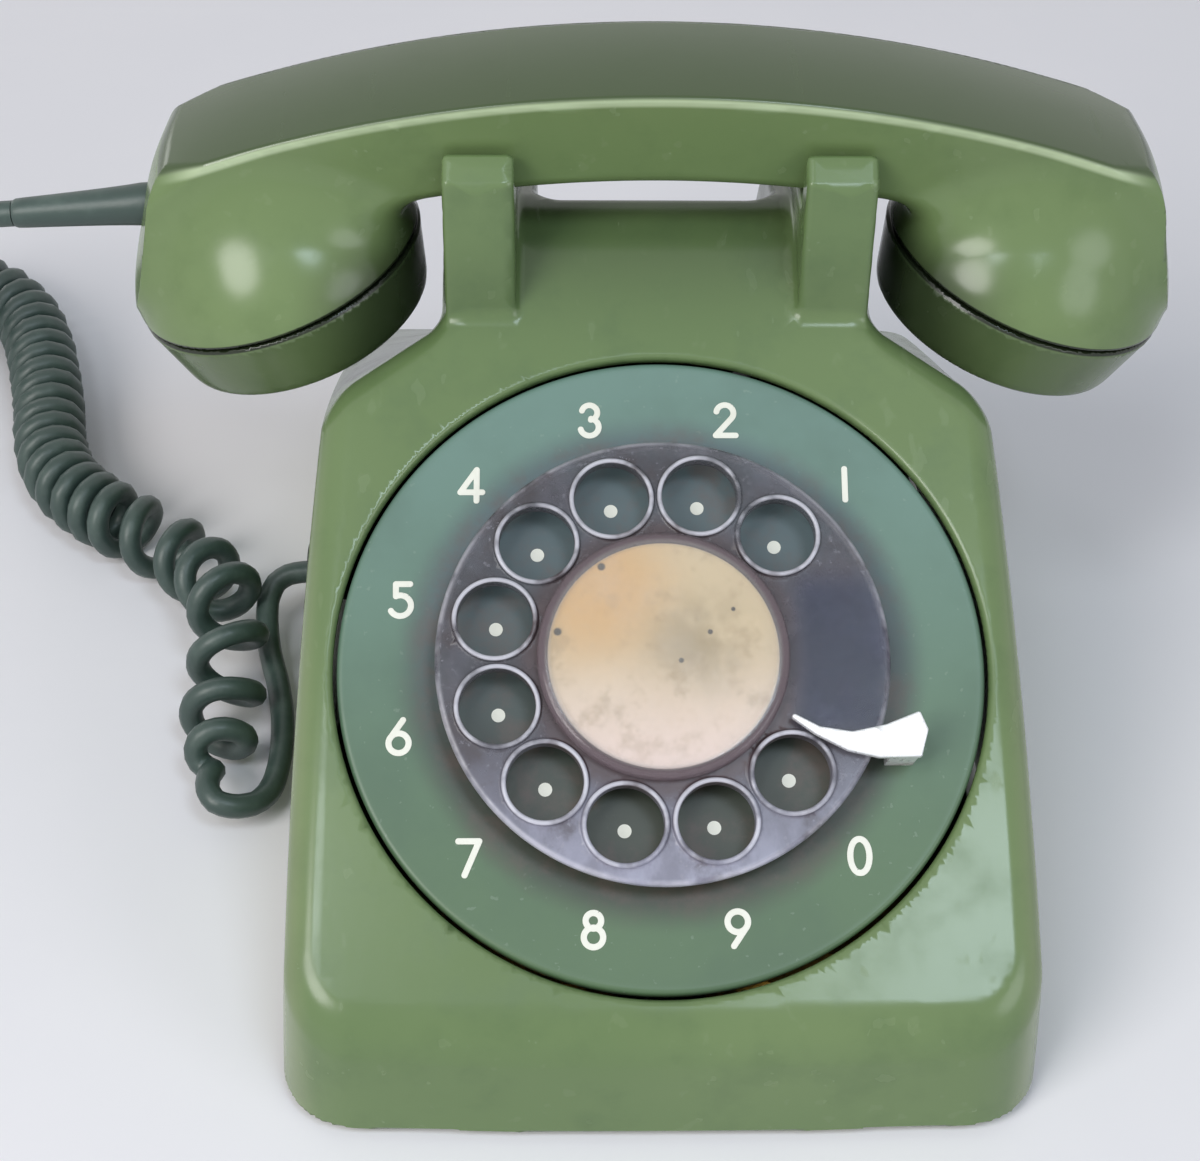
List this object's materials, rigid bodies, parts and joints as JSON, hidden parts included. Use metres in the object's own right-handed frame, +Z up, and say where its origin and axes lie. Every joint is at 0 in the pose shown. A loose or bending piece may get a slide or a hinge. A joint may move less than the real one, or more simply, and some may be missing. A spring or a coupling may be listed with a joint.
{
  "type": "rotary telephone",
  "caption": "Desk telephone with a sloping face, a rotary dial under a clear finger wheel, a handset across its cradle and a curly cord.",
  "frame": {"origin": "on the table under the middle of the base, halfway between front and rear and between the two sides", "axes": "+Z up, the dial faces -Y and up, +X is to the right of someone who faces the dial"},
  "size_m": [0.2936, 0.251, 0.1351],
  "materials": {
    "green_plastic": "glossy moss green, moulded and scuffed",
    "number_plate": "satin blue green with cream digits",
    "clear_plastic": "clear, grimy and scratched",
    "card": "aged and stained",
    "stop_metal": "bright, worn",
    "steel": "zinc plated",
    "spring_steel": "bright",
    "brass": "dull",
    "rubber": "matt",
    "cord_rubber": "grey green, worn smooth",
    "grey_plastic": "matt",
    "white_plastic": "glossy",
    "black_plastic": "matt",
    "winding": "varnished wire and tape",
    "capsule_metal": "satin"
  },
  "bodies": {
    "base": {"housing": "green_plastic", "base_plate": "steel", "feet": "rubber", "housing_screws": "steel", "number_plate": "number_plate", "finger_stop": "stop_metal", "dial_chassis": "steel", "dial_brackets": "steel", "dial_screws": "brass", "dial_spring": "spring_steel", "pulse_contacts": "brass", "gear_bridge": "steel", "governor_drum": "brass", "network_block": "grey_plastic", "terminal_screws": "brass", "ringer_frame": "steel", "ringer_coil": "winding", "gong_large": "brass", "gong_small": "brass", "gong_posts": "steel", "gong_screws": "steel", "hook_bracket": "steel", "hook_contacts": "brass", "handset_cord_outlet": "rubber", "line_cord_inlet": "rubber", "cord_base_end": "cord_rubber", "cord_curl": "cord_rubber", "cord_handset_end": "cord_rubber"},
    "dial_wheel": {"finger_wheel": "clear_plastic", "number_card": "card", "card_window": "clear_plastic", "wheel_screw": "brass", "main_shaft": "spring_steel", "main_gear": "brass"},
    "pulse_drive": {"pulse_shaft": "brass", "pulse_cam": "white_plastic"},
    "governor_rotor": {"governor": "brass"},
    "ringer_clapper": {"clapper": "spring_steel"},
    "ringer_volume": {"volume_wheel": "black_plastic"},
    "hook_arm": {"hook_lever": "steel"},
    "hook_plunger_left": {"plunger_left": "white_plastic"},
    "hook_plunger_right": {"plunger_right": "white_plastic"},
    "handset": {"handset_shell": "green_plastic", "mouthpiece_cap": "green_plastic", "transmitter": "capsule_metal", "transmitter_cup": "black_plastic", "earpiece_cap": "green_plastic", "receiver": "capsule_metal", "receiver_cup": "black_plastic", "cord_boot": "cord_rubber"}
  },
  "joints": [
    {"name": "dial_turn", "type": "hinge", "parent": "base", "child": "dial_wheel", "pos_m": [0, -0.0487, 0.05954], "axis": [0, 0.5299, -0.848], "range_deg": [0, 330], "stiffness_Nm_per_rad": 0.006, "springref_deg": -114.59},
    {"name": "pulse_turn", "type": "hinge", "parent": "base", "child": "pulse_drive", "pos_m": [-0.02376, -0.02855, 0.07213], "axis": [0, 0.5299, -0.848], "range_deg": [-1980, 0]},
    {"name": "governor_turn", "type": "hinge", "parent": "base", "child": "governor_rotor", "pos_m": [-0.01103, -0.01776, 0.07888], "axis": [0, 0.5299, -0.848], "range_deg": [0, 7920]},
    {"name": "handset_lift", "type": "slide", "parent": "base", "child": "handset", "axis": [0, 0, 1], "range_m": [0, 0.15]},
    {"name": "hook_left_rise", "type": "slide", "parent": "base", "child": "hook_plunger_left", "axis": [0, 0, 1], "range_m": [0, 0.005]},
    {"name": "hook_right_rise", "type": "slide", "parent": "base", "child": "hook_plunger_right", "axis": [0, 0, 1], "range_m": [0, 0.005]},
    {"name": "hook_lever_turn", "type": "hinge", "parent": "base", "child": "hook_arm", "pos_m": [0, 0.056, 0.066], "axis": [-1, 0, 0], "range_deg": [0, 10], "stiffness_Nm_per_rad": 0.05, "springref_deg": 28.65},
    {"name": "clapper_swing", "type": "hinge", "parent": "base", "child": "ringer_clapper", "pos_m": [0, -0.038, 0.0131], "axis": [0, 0, 1], "range_deg": [-4, 4], "stiffness_Nm_per_rad": 0.002},
    {"name": "volume_turn", "type": "hinge", "parent": "base", "child": "ringer_volume", "pos_m": [0.049, -0.062, 0.003], "axis": [0, 0, 1], "range_deg": [0, 90]}
  ],
  "couplings": [
    {"joint": "pulse_turn", "follows": "dial_turn", "ratio": -6},
    {"joint": "governor_turn", "follows": "dial_turn", "ratio": 24},
    {"joint": "hook_left_rise", "follows": "handset_lift", "ratio": 0.033333},
    {"joint": "hook_right_rise", "follows": "handset_lift", "ratio": 0.033333},
    {"joint": "hook_lever_turn", "follows": "handset_lift", "rad_per_m": 1.1636}
  ]
}
